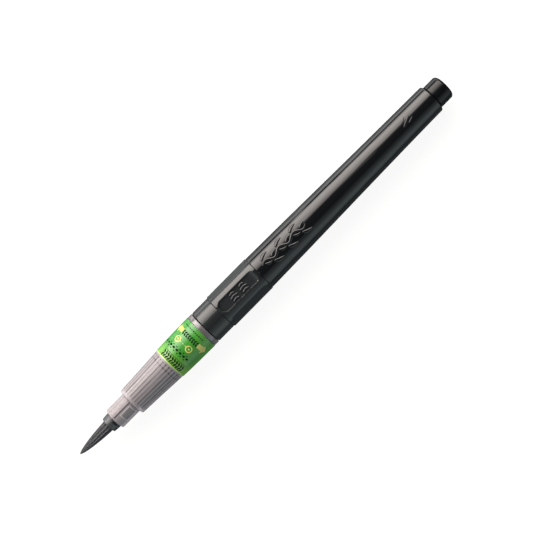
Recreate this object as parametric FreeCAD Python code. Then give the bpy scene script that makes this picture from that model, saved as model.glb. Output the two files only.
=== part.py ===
import FreeCAD, Part
import math
import os

from FreeCAD import Placement, Rotation, Vector

# A refillable brush pen without its cap, lying on a table with its tip towards -X and its
# tail towards +X.  Everything is turned about the X axis at stations counted in millimetres
# from the tip, and is moved to its place on the table only when it is written out.

# ---- Driving dimensions (mm) -------------------------------------------------------------
PEN_LENGTH = 155.6
REST_PLANE = 5.88              # height of the axis when the pen lies on one of its flats
AXIS_X = Vector(1, 0, 0)
CENTRE = Vector(0, 0, 0)
OUT_FOLDER = "parts"
PRESS_GAP = 0.02               # radial gap between pieces that are pressed into each other
SEAT_GAP = 0.05                # gap between pieces that stop against each other
EDGE_BREAK = 0.1               # size of the small chamfers on turned edges
CUT_PAST = 1.0                 # how far a cutter reaches beyond the surface it cuts

# brush: tuft, its root and the ferrule that grips it
TUFT_PIVOT = 12.6              # the tuft flexes about this station, just inside the ferrule
TUFT_ROOT_R = 1.90             # ball-shaped rear end of the free part of the tuft
TUFT_CURVE = [(0.55, 0.37), (1.2, 0.57), (3.0, 0.99), (6.0, 1.48), (9.0, 1.80), (12.0, 1.96)]
TUFT_TIP_R = 0.05
FERRULE_FRONT, FERRULE_SHOULDER, FERRULE_REAR = 12.2, 14.45, 21.5
FERRULE_FRONT_R, FERRULE_SHOULDER_R, FERRULE_STEM_R = 2.61, 2.78, 2.70
FERRULE_POCKET_R, FERRULE_MOUTH_R, FERRULE_POCKET_END = 2.15, 2.38, 14.7
ROOT_R, ROOT_END = 1.45, 18.0
DISC_R, DISC_THICKNESS = 1.80, 0.7
WINDOW_DEPTH, WINDOW_HALF_ANGLE = 0.32, 36.0
WINDOW_FRONT = (15.0, 19.2)
WINDOW_REAR = (17.1, 21.0)
STEM_SLOT_WIDTH, STEM_SLOT_DEPTH = 0.28, 0.45
NOTCH_WIDTH, NOTCH_DEPTH, NOTCH_LENGTH, NOTCH_ANGLE = 1.8, 0.55, 0.55, 27.0
RELAY_R, RELAY_REAR, RELAY_HOLE_R = 0.65, 22.0, 0.70

# clear front shell: nose, grip and the part under the label
NOSE_FRONT, NOSE_R, NOSE_BORE_R = 14.8, 3.58, 2.83
NOSE_FRONT_ROUND, NOSE_ROOT_ROUND, GRIP_FRONT_ROUND, SHELL_REAR_ROUND = 0.35, 0.25, 0.4, 0.12
GRIP_FRONT, SHELL_REAR = 22.1, 51.85
GRIP_CURVE = [(GRIP_FRONT, 4.71), (30.0, 5.05), (38.3, 5.46), (45.0, 5.65), (SHELL_REAR, 5.73)]
CAVITY_FRONT, CAVITY_STEP = 22.9, 36.15
CAVITY_FRONT_R, CAVITY_STEP_R = 3.85, 4.42
SOCKET_R = 4.60                # the rear socket that takes the threaded connector
RIB_COUNT, RIB_WIDTH, RIB_CREST_R = 28, 0.22, 3.60
RIB_START, RIB_SINK = 23.3, 0.1     # where the ribs start, how deep their feet sit in the wall

# printed film round the shell
LABEL_FRONT, LABEL_REAR, LABEL_THICKNESS, LABEL_GAP = 38.4, 51.75, 0.15, 0.01

# threaded connector and the spacer ring
PLUG_R, CONNECTOR_BORE_R = 4.55, 3.55
NECK_R, CONNECTOR_REAR = 4.35, 62.3
THREAD_PITCH, THREAD_TURNS, THREAD_START = 2.0, 2.5, 55.4
THREAD_CREST_R, THREAD_BASE, THREAD_TOP = 4.72, 1.0, 0.55
THREAD_CLEARANCE = 0.13
TURNS_TO_MOUTH, TURNS_TO_SPARE = 2, 0.25     # the barrel's groove before and after the thread
PLUG_CHAMFER, PLUG_CHAMFER_LENGTH, CONNECTOR_CHAMFER = 0.2, 0.4, 0.35
THREAD_SINK = 0.1              # how deep the thread's foot sits in the neck
RING_FRONT, RING_REAR, RING_R, RING_BORE_R = 51.9, 53.4, 5.82, 4.90
RING_ROUND, RING_GROOVE, RING_GROOVE_DEPTH = 0.12, (52.32, 52.46), 0.08

# ink feed
COMB_CORE_R, COMB_FIN_R, FIN_PITCH, FIN_THICKNESS, FIN_COUNT = 1.7, 3.40, 0.50, 0.24, 25
COMB_FRONT, COMB_COLLAR_R, COMB_FIRST_FIN = 22.3, 2.4, 23.2
COMB_COLLAR_REAR, COMB_REAR = 22.9, 35.7
SPIGOT_R, SPIGOT_LENGTH = 2.2, 2.5
CARRIER_FRONT, FEED_REAR, CARRIER_R = 35.8, 49.5, 3.50
SEAL_X, SEAL_R, SEAL_GROOVE_R, SEAL_GROOVE_WIDTH = 41.0, 0.31, 2.90, 0.80
WICK_R, WICK_BORE_R, WICK_FRONT, WICK_REAR = 0.90, 0.95, 22.05, 56.0
SLOT_WIDTH, SLOT_FLOOR_R = 0.45, 1.25
SPIKE_R, SPIKE_FRONT, SPIKE_REAR, SPIKE_SLANT = 1.45, 44.5, 57.5, 40.0
SPIKE_KNIFE = 8.0              # size of the block that cuts the spike off at its slant

# cartridge
TUBE_R, TUBE_BORE_R, TUBE_FRONT, TUBE_REAR = 3.40, 2.90, 58.5, 117.8
TUBE_END_WALL, TUBE_ROUND, NECK_CHAMFER, NECK_CHAMFER_LENGTH = 0.9, 0.8, 0.3, 0.5
NECK_FRONT, NECK_FLANGE, NECK_PLUG_END = 52.5, 57.7, 61.5
NECK_NOSE_R, NECK_PLUG_R, NECK_BORE_R = 2.40, 2.87, 1.52
BALL_R, BALL_X, BALL_SEAT_R = 1.55, 59.3, 1.58
SEAT_FRONT, SEAT_REAR, NECK_FUNNEL_R = 58.2, 60.2, 2.3
INK_FRONT, INK_REAR, INK_R = 62.6, 110.0, 2.85

# barrel
BARREL_FRONT, COLLAR_FRONT, COLLAR_REAR, BARREL_REAR = 53.55, 60.0, 76.45, 150.25
BARREL_FRONT_R, COLLAR_R = 5.79, 6.02
BODY_CURVE = [(COLLAR_REAR, 5.86), (93.0, 5.63), (112.0, 5.29), (131.0, 4.98), (BARREL_REAR, 4.77)]
BARREL_FRONT_ROUND, BARREL_REAR_ROUND, COLLAR_FRONT_ROUND, COLLAR_REAR_ROUND = 0.45, 0.6, 0.12, 0.1
MOUTH_DEPTH, MOUTH_R = 0.9, 4.95
THREAD_BORE_R, THREAD_BORE_END = 4.45, 63.2
BAY_END, BAY_FRONT_R, BAY_END_R, TAIL_BORE_R = 118.0, 4.45, 4.20, 3.10
PAD_COUNT, PAD_HALF_WIDTH, PAD_FRONT, PAD_REAR = 6, 1.90, 61.0, 75.5
PAD_PLANE = 5.72               # distance of each anti-roll flat from the axis
PILL_HALF_WIDTH, PILL_FRONT, PILL_REAR, PILL_FLOOR = 1.98, 60.87, 75.63, 5.18
PILL_CORNER = 1.45             # rounding of the corners of the recess and of the flats
PILL_RAMP = 2.9                # length of the scooped rise at the tail end of the recess
FACE_WIDTH = 8.0               # more than the width of the collar's faint faces

# tail plug
PLUG_STEM_FRONT, KNOB_FRONT, KNOB_R, KNOB_ROUND = 142.0, 150.50, 4.03, 1.15
STEM_R, STEM_BORE_R, STEM_CHAMFER, STEM_CHAMFER_LENGTH = 3.08, 2.3, 0.2, 0.6
KNOB_END_WALL = 1.6
KNOB_GROOVE_FRONT, KNOB_GROOVE_REAR = 151.05, 154.2
KNOB_GROOVES, KNOB_GROOVE_WIDTH, KNOB_GROOVE_DEPTH, KNOB_GROOVE_TURN = 6, 0.55, 0.16, 20.0
KNOB_GROOVE_CORNER = 0.25


# ---- Helpers -----------------------------------------------------------------------------
def at(x, r):
    """A point of a half outline: station x along the pen, radius r."""
    return Vector(x, 0, r)


def line(a, b):
    return Part.LineSegment(at(*a), at(*b)).toShape()


def curve(points):
    spline = Part.BSplineCurve()
    spline.interpolate([at(*p) for p in points])
    return spline.toShape()


def outline(*runs):
    """Joins runs end to end into a closed outline.  A run of two points is a line, a longer
    one is a smooth curve, and the gaps between runs are closed by lines."""
    edges = []
    for n, run in enumerate(runs):
        following = runs[(n + 1) % len(runs)]
        edges.append(line(*run) if len(run) == 2 else curve(run))
        if run[-1] != following[0]:
            edges.append(line(run[-1], following[0]))
    return Part.Wire(edges)


def turned(*runs):
    """The solid that an outline sweeps round the pen's axis."""
    return Part.Face(outline(*runs)).revolve(CENTRE, AXIS_X, 360)


def turned_points(points):
    """A turned solid with straight sides, from its corner points."""
    closed = points + points[:1]
    wire = Part.makePolygon([at(*p) for p in closed])
    return Part.Face(wire).revolve(CENTRE, AXIS_X, 360)


def rod(x0, x1, radius):
    return Part.makeCylinder(radius, x1 - x0, Vector(x0, 0, 0), AXIS_X)


def tube(x0, x1, outer, inner):
    return rod(x0, x1, outer).cut(rod(x0 - 1, x1 + 1, inner))


def rims(shape, x, radius, slack=0.02):
    """The circular edges about the axis at that station and radius."""
    found = []
    for edge in shape.Edges:
        circle = edge.Curve
        if isinstance(circle, Part.Circle):
            off_axis = math.hypot(circle.Center.y, circle.Center.z)
            near = abs(circle.Center.x - x) < slack and abs(circle.Radius - radius) < slack
            if near and off_axis < slack:
                found.append(edge)
    return found


def rounded(shape, *places):
    """Rounds the rims given as (station, radius, rounding)."""
    for x, radius, rounding in places:
        shape = shape.makeFillet(rounding, rims(shape, x, radius))
    return shape


def about_axis(shape, degrees):
    copy = shape.copy()
    copy.rotate(CENTRE, AXIS_X, degrees)
    return copy


def rounded_bar(x0, x1, half_width, corner, z0, z1):
    """An upright prism whose plan is a rectangle along X with rounded corners."""
    bar = Part.makeBox(x1 - x0, 2 * half_width, z1 - z0, Vector(x0, -half_width, z0))
    upright = [edge for edge in bar.Edges if abs(edge.tangentAt(edge.FirstParameter).z) > 0.5]
    return bar.makeFillet(corner, upright)


def helical_bar(x0, turns, inner_r, outer_r, base, top):
    """A right-handed thread ridge of trapezoidal section, from inner_r to outer_r."""
    helix = Part.makeHelix(THREAD_PITCH, THREAD_PITCH * turns, inner_r)
    corners = [
        Vector(inner_r, 0, -base / 2),
        Vector(outer_r, 0, -top / 2),
        Vector(outer_r, 0, top / 2),
        Vector(inner_r, 0, base / 2),
    ]
    section = Part.makePolygon(corners + corners[:1])
    bar = Part.Wire(helix.Edges).makePipeShell([section], True, True)
    bar.Placement = Placement(Vector(x0, 0, 0), Rotation(Vector(0, 1, 0), 90))
    return bar


def grown_grip(grow):
    """The space inside the grip's outer surface, with that surface moved outwards."""
    surface = [(x, r + grow) for x, r in GRIP_CURVE]
    return turned([(GRIP_FRONT, 0), surface[0]], surface, [surface[-1], (SHELL_REAR, 0)])


# ---- Brush -------------------------------------------------------------------------------
def brush_tuft():
    """The free part of the bristles: a pointed bullet with a ball root."""
    ball_half_chord = TUFT_ROOT_R * math.sqrt(0.75)
    ball = Part.Arc(
        at(TUFT_PIVOT, TUFT_ROOT_R),
        at(TUFT_PIVOT + TUFT_ROOT_R / 2, ball_half_chord),
        at(TUFT_PIVOT + TUFT_ROOT_R, 0),
    ).toShape()
    tip, last = TUFT_CURVE[0], TUFT_CURVE[-1]
    edges = [
        line((0, 0), (0, TUFT_TIP_R)),
        line((0, TUFT_TIP_R), tip),
        curve(TUFT_CURVE),
        line(last, (TUFT_PIVOT, TUFT_ROOT_R)),
        ball,
        line((TUFT_PIVOT + TUFT_ROOT_R, 0), (0, 0)),
    ]
    return Part.Face(Part.Wire(edges)).revolve(CENTRE, AXIS_X, 360)


def tuft_root():
    """The bound bundle of bristle ends that stays in the ferrule."""
    return tube(FERRULE_POCKET_END + SEAT_GAP, ROOT_END, ROOT_R, RELAY_HOLE_R)


def tuft_root_disc():
    """The melted disc that ties all bristle ends together."""
    return tube(ROOT_END, ROOT_END + DISC_THICKNESS, DISC_R, RELAY_HOLE_R)


def ink_relay():
    """Fibre rod that brings ink through the root into the heart of the tuft."""
    return rod(FERRULE_POCKET_END + SEAT_GAP, RELAY_REAR, RELAY_R)


def brush_ferrule():
    shape = turned_points([
        (FERRULE_FRONT, FERRULE_MOUTH_R),
        (FERRULE_FRONT, FERRULE_FRONT_R - EDGE_BREAK),
        (FERRULE_FRONT + EDGE_BREAK, FERRULE_FRONT_R),
        (FERRULE_SHOULDER - EDGE_BREAK, FERRULE_SHOULDER_R),
        (FERRULE_SHOULDER, FERRULE_SHOULDER_R - EDGE_BREAK / 2),
        (FERRULE_SHOULDER, FERRULE_STEM_R),
        (FERRULE_REAR, FERRULE_STEM_R),
        (FERRULE_REAR, DISC_R + SEAT_GAP),
        (ROOT_END - PRESS_GAP, DISC_R + SEAT_GAP),
        (ROOT_END - PRESS_GAP, ROOT_R + PRESS_GAP),
        (FERRULE_POCKET_END, ROOT_R + PRESS_GAP),
        (FERRULE_POCKET_END, FERRULE_POCKET_R),
        (TUFT_PIVOT, FERRULE_POCKET_R),
    ])
    # shallow windows on the stem, staggered from one quarter to the next
    for quarter in range(4):
        x0, x1 = WINDOW_FRONT if quarter % 2 else WINDOW_REAR
        ring = tube(x0, x1, FERRULE_STEM_R + CUT_PAST, FERRULE_STEM_R - WINDOW_DEPTH)
        sector = Part.makeCylinder(
            FERRULE_STEM_R + CUT_PAST, x1 - x0, Vector(x0, 0, 0), AXIS_X, 2 * WINDOW_HALF_ANGLE
        )
        turn = 45 + 90 * quarter - WINDOW_HALF_ANGLE
        shape = shape.cut(about_axis(ring.common(sector), turn))
    # a narrow air slot along the top of the stem
    slot = Part.makeBox(
        FERRULE_REAR - WINDOW_FRONT[0],
        STEM_SLOT_WIDTH,
        STEM_SLOT_DEPTH + CUT_PAST,
        Vector(WINDOW_FRONT[0], -STEM_SLOT_WIDTH / 2, FERRULE_STEM_R - STEM_SLOT_DEPTH),
    )
    # air notches in the shoulder, on opposite sides
    notch = Part.makeBox(
        NOTCH_LENGTH,
        NOTCH_WIDTH,
        NOTCH_DEPTH + CUT_PAST,
        Vector(
            FERRULE_SHOULDER - NOTCH_LENGTH, -NOTCH_WIDTH / 2, FERRULE_SHOULDER_R - NOTCH_DEPTH
        ),
    )
    notches = [about_axis(notch, NOTCH_ANGLE + 180 * side) for side in range(2)]
    return shape.cut([slot] + notches)


# ---- Clear front shell and what is on it ---------------------------------------------------
def front_shell():
    shape = turned(
        [(NOSE_FRONT, NOSE_BORE_R), (NOSE_FRONT, NOSE_R)],
        [(NOSE_FRONT, NOSE_R), (GRIP_FRONT, NOSE_R)],
        GRIP_CURVE,
        [(SHELL_REAR, SOCKET_R), (CAVITY_STEP, SOCKET_R)],
        [(CAVITY_STEP, CAVITY_STEP_R), (CAVITY_FRONT, CAVITY_FRONT_R)],
        [(CAVITY_FRONT, NOSE_BORE_R), (NOSE_FRONT, NOSE_BORE_R)],
    )
    shape = rounded(
        shape,
        (NOSE_FRONT, NOSE_R, NOSE_FRONT_ROUND),
        (GRIP_FRONT, NOSE_R, NOSE_ROOT_ROUND),
        (GRIP_FRONT, GRIP_CURVE[0][1], GRIP_FRONT_ROUND),
        (SHELL_REAR, GRIP_CURVE[-1][1], SHELL_REAR_ROUND),
    )
    # the ribs run straight while the wall flares, so they stand up more towards the rear
    rib = Part.makeBox(
        CAVITY_STEP - RIB_START,
        RIB_WIDTH,
        CAVITY_STEP_R + RIB_SINK - RIB_CREST_R,
        Vector(RIB_START, -RIB_WIDTH / 2, RIB_CREST_R),
    )
    ribs = [about_axis(rib, 360 / RIB_COUNT * k) for k in range(RIB_COUNT)]
    return shape.fuse(ribs).removeSplitter()


def instruction_label():
    film = grown_grip(LABEL_THICKNESS).cut(grown_grip(LABEL_GAP))
    return film.common(rod(LABEL_FRONT, LABEL_REAR, COLLAR_R))


def section_connector():
    """Plug, neck and thread that join the front shell to the barrel."""
    shape = turned_points([
        (CAVITY_STEP + SEAT_GAP, CONNECTOR_BORE_R),
        (CAVITY_STEP + SEAT_GAP, PLUG_R - PLUG_CHAMFER),
        (CAVITY_STEP + SEAT_GAP + PLUG_CHAMFER_LENGTH, PLUG_R),
        (SHELL_REAR, PLUG_R),
        (SHELL_REAR, NECK_R),
        (CONNECTOR_REAR - CONNECTOR_CHAMFER, NECK_R),
        (CONNECTOR_REAR, NECK_R - CONNECTOR_CHAMFER),
        (CONNECTOR_REAR, CONNECTOR_BORE_R),
    ])
    thread = helical_bar(
        THREAD_START,
        THREAD_TURNS,
        NECK_R - THREAD_SINK,
        THREAD_CREST_R,
        THREAD_BASE,
        THREAD_TOP,
    )
    return shape.fuse(thread)


def spacer_ring():
    """Clear ring that holds the barrel off until the pen is first used."""
    shape = tube(RING_FRONT, RING_REAR, RING_R, RING_BORE_R)
    shape = rounded(shape, (RING_FRONT, RING_R, RING_ROUND), (RING_REAR, RING_R, RING_ROUND))
    groove = tube(*RING_GROOVE, RING_R + CUT_PAST, RING_R - RING_GROOVE_DEPTH)
    return shape.cut(groove)


# ---- Ink feed ----------------------------------------------------------------------------
def feed_comb():
    """Finned collector that holds back spare ink, with a spigot at its rear end."""
    points = [(COMB_FRONT, WICK_BORE_R), (COMB_FRONT, COMB_COLLAR_R)]
    points += [(COMB_COLLAR_REAR, COMB_COLLAR_R), (COMB_COLLAR_REAR, COMB_CORE_R)]
    for n in range(FIN_COUNT):
        x = COMB_FIRST_FIN + n * FIN_PITCH
        points += [(x, COMB_CORE_R), (x, COMB_FIN_R)]
        points += [(x + FIN_THICKNESS, COMB_FIN_R), (x + FIN_THICKNESS, COMB_CORE_R)]
    spigot_rear = COMB_REAR + SPIGOT_LENGTH
    points += [(COMB_REAR, COMB_CORE_R), (COMB_REAR, SPIGOT_R)]
    points += [(spigot_rear, SPIGOT_R), (spigot_rear, WICK_BORE_R)]
    shape = turned_points(points)
    # the air slot along the top of the comb, through every fin
    slot = Part.makeBox(
        spigot_rear - COMB_FRONT + 2 * CUT_PAST,
        SLOT_WIDTH,
        COMB_FIN_R - SLOT_FLOOR_R + CUT_PAST,
        Vector(COMB_FRONT - CUT_PAST, -SLOT_WIDTH / 2, SLOT_FLOOR_R),
    )
    return shape.cut(slot)


def feed_carrier():
    """Holds the comb in front and the spike behind, and fills the connector's bore."""
    groove_front = SEAL_X - SEAL_GROOVE_WIDTH / 2
    groove_rear = SEAL_X + SEAL_GROOVE_WIDTH / 2
    pocket_end = CARRIER_FRONT + SPIGOT_LENGTH
    return turned_points([
        (CARRIER_FRONT, SPIGOT_R + PRESS_GAP),
        (CARRIER_FRONT, CARRIER_R),
        (groove_front, CARRIER_R),
        (groove_front, SEAL_GROOVE_R),
        (groove_rear, SEAL_GROOVE_R),
        (groove_rear, CARRIER_R),
        (FEED_REAR, CARRIER_R),
        (FEED_REAR, SPIKE_R + PRESS_GAP),
        (SPIKE_FRONT, SPIKE_R + PRESS_GAP),
        (SPIKE_FRONT, WICK_BORE_R),
        (pocket_end, WICK_BORE_R),
        (pocket_end, SPIGOT_R + PRESS_GAP),
    ])


def feed_seal():
    """Rubber ring between the carrier and the connector."""
    ring_radius = SEAL_GROOVE_R + SEAL_R + PRESS_GAP / 2
    return Part.makeTorus(ring_radius, SEAL_R, Vector(SEAL_X, 0, 0), AXIS_X)


def feed_wick():
    return rod(WICK_FRONT, WICK_REAR, WICK_R)


def cartridge_spike():
    """Hollow needle that opens the cartridge, cut off at a slant."""
    shape = tube(SPIKE_FRONT + PRESS_GAP, SPIKE_REAR, SPIKE_R, WICK_BORE_R)
    size = SPIKE_KNIFE
    knife = Part.makeBox(size, size, size, Vector(0, -size / 2, 0))
    knife.rotate(CENTRE, Vector(0, 1, 0), -SPIKE_SLANT)
    knife.translate(Vector(SPIKE_REAR, 0, -SPIKE_R))
    return shape.cut(knife)


# ---- Cartridge ---------------------------------------------------------------------------
def cartridge_tube():
    shape = turned_points([
        (TUBE_FRONT + PRESS_GAP, TUBE_BORE_R),
        (TUBE_FRONT + PRESS_GAP, TUBE_R),
        (TUBE_REAR, TUBE_R),
        (TUBE_REAR, 0),
        (TUBE_REAR - TUBE_END_WALL, 0),
        (TUBE_REAR - TUBE_END_WALL, TUBE_BORE_R),
    ])
    return rounded(shape, (TUBE_REAR, TUBE_R, TUBE_ROUND))


def cartridge_neck():
    return turned_points([
        (NECK_FRONT, NECK_BORE_R),
        (NECK_FRONT, NECK_NOSE_R - NECK_CHAMFER),
        (NECK_FRONT + NECK_CHAMFER_LENGTH, NECK_NOSE_R),
        (NECK_FLANGE, NECK_NOSE_R),
        (NECK_FLANGE, TUBE_R),
        (TUBE_FRONT, TUBE_R),
        (TUBE_FRONT, NECK_PLUG_R),
        (NECK_PLUG_END, NECK_PLUG_R),
        (NECK_PLUG_END, NECK_FUNNEL_R),
        (SEAT_REAR, BALL_SEAT_R),
        (SEAT_FRONT, BALL_SEAT_R),
        (SEAT_FRONT, NECK_BORE_R),
    ])


def stopper_ball():
    return Part.makeSphere(BALL_R, Vector(BALL_X, 0, 0))


def ink_charge():
    return rod(INK_FRONT, INK_REAR, INK_R)


# ---- Barrel ------------------------------------------------------------------------------
def pill_recess():
    """Cutter for the long recess: flat floor, upright walls and a scooped tail end."""
    top = COLLAR_R + CUT_PAST
    plan = rounded_bar(PILL_FRONT, PILL_REAR, PILL_HALF_WIDTH, PILL_CORNER, PILL_FLOOR, top)
    rise = COLLAR_R - PILL_FLOOR
    ramp_r = (PILL_RAMP**2 + rise**2) / (2 * rise)
    foot = Vector(PILL_REAR - PILL_RAMP, 0, PILL_FLOOR)
    turn = math.asin(PILL_RAMP / ramp_r)
    middle = Vector(
        foot.x + ramp_r * math.sin(turn / 2),
        0,
        PILL_FLOOR + ramp_r * (1 - math.cos(turn / 2)),
    )
    crest = Vector(PILL_REAR, 0, COLLAR_R)
    corners = [Vector(PILL_REAR, 0, top), Vector(PILL_FRONT - CUT_PAST, 0, top)]
    corners.append(Vector(PILL_FRONT - CUT_PAST, 0, PILL_FLOOR))
    edges = [
        Part.LineSegment(corners[2], foot).toShape(),
        Part.Arc(foot, middle, crest).toShape(),
        Part.LineSegment(crest, corners[0]).toShape(),
        Part.LineSegment(corners[0], corners[1]).toShape(),
        Part.LineSegment(corners[1], corners[2]).toShape(),
    ]
    side = Part.Face(Part.Wire(edges))
    side.translate(Vector(0, -PILL_HALF_WIDTH - CUT_PAST, 0))
    return plan.common(side.extrude(Vector(0, 2 * (PILL_HALF_WIDTH + CUT_PAST), 0)))


def barrel():
    shape = turned(
        [(BARREL_FRONT, MOUTH_R), (BARREL_FRONT, BARREL_FRONT_R)],
        [(BARREL_FRONT, BARREL_FRONT_R), (COLLAR_FRONT, BARREL_FRONT_R)],
        [(COLLAR_FRONT, COLLAR_R), (COLLAR_REAR, COLLAR_R)],
        BODY_CURVE,
        [(BARREL_REAR, TAIL_BORE_R), (BAY_END, TAIL_BORE_R)],
        [(BAY_END, BAY_END_R), (THREAD_BORE_END, BAY_FRONT_R)],
        [(THREAD_BORE_END, THREAD_BORE_R), (BARREL_FRONT + MOUTH_DEPTH, THREAD_BORE_R)],
        [(BARREL_FRONT + MOUTH_DEPTH, MOUTH_R), (BARREL_FRONT, MOUTH_R)],
    )
    shape = rounded(
        shape,
        (BARREL_FRONT, BARREL_FRONT_R, BARREL_FRONT_ROUND),
        (COLLAR_FRONT, COLLAR_R, COLLAR_FRONT_ROUND),
        (COLLAR_REAR, COLLAR_R, COLLAR_REAR_ROUND),
        (BARREL_REAR, BODY_CURVE[-1][1], BARREL_REAR_ROUND),
    )
    top = COLLAR_R + CUT_PAST
    pad = rounded_bar(PAD_FRONT, PAD_REAR, PAD_HALF_WIDTH, PILL_CORNER, PAD_PLANE, top)
    # outside the pads the collar is faintly six-sided, so that the pen doesn't roll
    flat = Part.makeBox(
        COLLAR_REAR - COLLAR_FRONT,
        FACE_WIDTH,
        top - REST_PLANE,
        Vector(COLLAR_FRONT, -FACE_WIDTH / 2, REST_PLANE),
    )
    cutters = [pill_recess()]
    cutters += [about_axis(flat, 360 / PAD_COUNT * k) for k in range(PAD_COUNT)]
    cutters += [about_axis(pad, 360 / PAD_COUNT * k) for k in range(1, PAD_COUNT)]
    shape = shape.cut(cutters)
    # the groove runs out through the mouth, so that the connector's thread can leave
    groove = helical_bar(
        THREAD_START - TURNS_TO_MOUTH * THREAD_PITCH,
        TURNS_TO_MOUTH + THREAD_TURNS + TURNS_TO_SPARE,
        NECK_R - THREAD_SINK,
        THREAD_CREST_R + THREAD_CLEARANCE,
        THREAD_BASE + 2 * THREAD_CLEARANCE,
        THREAD_TOP + 2 * THREAD_CLEARANCE,
    )
    return shape.cut(groove)


def tail_plug():
    knob = turned_points([
        (PLUG_STEM_FRONT, STEM_BORE_R),
        (PLUG_STEM_FRONT, STEM_R - STEM_CHAMFER),
        (PLUG_STEM_FRONT + STEM_CHAMFER_LENGTH, STEM_R),
        (KNOB_FRONT, STEM_R),
        (KNOB_FRONT, KNOB_R - EDGE_BREAK),
        (KNOB_FRONT + EDGE_BREAK, KNOB_R),
        (PEN_LENGTH, KNOB_R),
        (PEN_LENGTH, 0),
        (PEN_LENGTH - KNOB_END_WALL, 0),
        (PEN_LENGTH - KNOB_END_WALL, STEM_BORE_R),
    ])
    knob = rounded(knob, (PEN_LENGTH, KNOB_R, KNOB_ROUND))
    groove = rounded_bar(
        KNOB_GROOVE_FRONT,
        KNOB_GROOVE_REAR,
        KNOB_GROOVE_WIDTH / 2,
        KNOB_GROOVE_CORNER,
        KNOB_R - KNOB_GROOVE_DEPTH,
        KNOB_R + CUT_PAST,
    )
    step = 360 / KNOB_GROOVES
    turns = [KNOB_GROOVE_TURN + step * k for k in range(KNOB_GROOVES)]
    return knob.cut([about_axis(groove, turn) for turn in turns])


# ---- Writing out -------------------------------------------------------------------------
def main():
    os.makedirs(OUT_FOLDER, exist_ok=True)
    made = {
        "brush_tuft": brush_tuft(),
        "tuft_root": tuft_root(),
        "tuft_root_disc": tuft_root_disc(),
        "ink_relay": ink_relay(),
        "brush_ferrule": brush_ferrule(),
        "front_shell": front_shell(),
        "instruction_label": instruction_label(),
        "section_connector": section_connector(),
        "spacer_ring": spacer_ring(),
        "feed_comb": feed_comb(),
        "feed_carrier": feed_carrier(),
        "feed_seal": feed_seal(),
        "feed_wick": feed_wick(),
        "cartridge_spike": cartridge_spike(),
        "cartridge_tube": cartridge_tube(),
        "cartridge_neck": cartridge_neck(),
        "stopper_ball": stopper_ball(),
        "ink_charge": ink_charge(),
        "barrel": barrel(),
        "tail_plug": tail_plug(),
    }
    on_the_table = Vector(-PEN_LENGTH / 2, 0, REST_PLANE)
    for name, shape in made.items():
        shape.translate(on_the_table)
        state = "valid" if shape.isValid() else "NOT VALID"
        print(f"{name}: {len(shape.Solids)} solid, {shape.Volume:.1f} mm3, {state}")
        shape.exportStep(os.path.join(OUT_FOLDER, name + ".step"))


main()
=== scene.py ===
# %% [markdown]
# # A refillable brush pen, lying uncapped on a pale table
#
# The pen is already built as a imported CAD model, and its bodies move. This script keeps the
# CAD pieces whose shape is right, remakes the ones that need finer edges or hundreds of hairs,
# and gives every surface its finish. We go from the outside world inwards: camera, table and
# lights, then the materials, then the pen from tail to tip.

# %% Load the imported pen
import math

import bmesh
import bpy
import numpy as np
from mathutils import Matrix, Vector
from mathutils.bvhtree import BVHTree


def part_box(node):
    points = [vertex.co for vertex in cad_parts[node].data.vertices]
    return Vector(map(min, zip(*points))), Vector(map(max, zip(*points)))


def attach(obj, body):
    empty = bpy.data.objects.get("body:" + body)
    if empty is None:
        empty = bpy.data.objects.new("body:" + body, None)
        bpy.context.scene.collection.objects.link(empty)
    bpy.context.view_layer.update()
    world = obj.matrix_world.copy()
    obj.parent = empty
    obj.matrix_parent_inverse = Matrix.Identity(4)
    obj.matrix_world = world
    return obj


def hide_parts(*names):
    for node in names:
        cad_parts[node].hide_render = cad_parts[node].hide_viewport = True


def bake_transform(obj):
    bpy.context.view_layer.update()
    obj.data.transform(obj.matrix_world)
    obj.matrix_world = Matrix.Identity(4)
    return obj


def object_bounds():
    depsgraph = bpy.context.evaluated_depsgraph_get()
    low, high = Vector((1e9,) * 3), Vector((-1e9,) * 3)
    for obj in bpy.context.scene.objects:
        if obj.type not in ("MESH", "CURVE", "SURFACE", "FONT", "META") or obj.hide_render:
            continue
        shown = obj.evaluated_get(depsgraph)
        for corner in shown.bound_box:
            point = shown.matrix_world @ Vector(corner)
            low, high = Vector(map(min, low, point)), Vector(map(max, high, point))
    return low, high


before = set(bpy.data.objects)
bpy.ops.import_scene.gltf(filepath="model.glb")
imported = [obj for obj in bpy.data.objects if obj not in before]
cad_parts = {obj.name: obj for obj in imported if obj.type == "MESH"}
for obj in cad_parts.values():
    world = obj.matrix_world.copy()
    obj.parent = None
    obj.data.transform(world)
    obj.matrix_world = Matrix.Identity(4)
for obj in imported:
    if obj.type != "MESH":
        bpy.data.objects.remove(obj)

CAD_LOW, CAD_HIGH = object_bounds()
print("size in mm:", [round(1000 * side, 2) for side in CAD_HIGH - CAD_LOW])

# %% [markdown]
# Along the pen, makers count stations from the tip, so every place below is a station in
# millimetres and `at(station)` turns it into the frame's X. The pen's own axis is level, and
# its height is read from the tail plug, which is round.

# %% Stations along the pen
MM = 0.001
TIP_X = CAD_LOW.x
KNOB_LOW, KNOB_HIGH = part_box("tail_plug")
AXIS_Z = (KNOB_LOW.z + KNOB_HIGH.z) / 2
SCENE = bpy.context.scene


def at(station):
    """Frame X of a station in millimetres from the tip."""
    return TIP_X + station * MM


print("axis height in mm:", round(AXIS_Z / MM, 3))

# %% [markdown]
# ## Camera
#
# The pen is seen from above, from rather far away, so it shows almost no perspective. We place
# the camera with three perpendicular directions: back towards the camera, right and up. The
# roll makes the pen climb from the lower left to the upper right of the picture.

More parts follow.
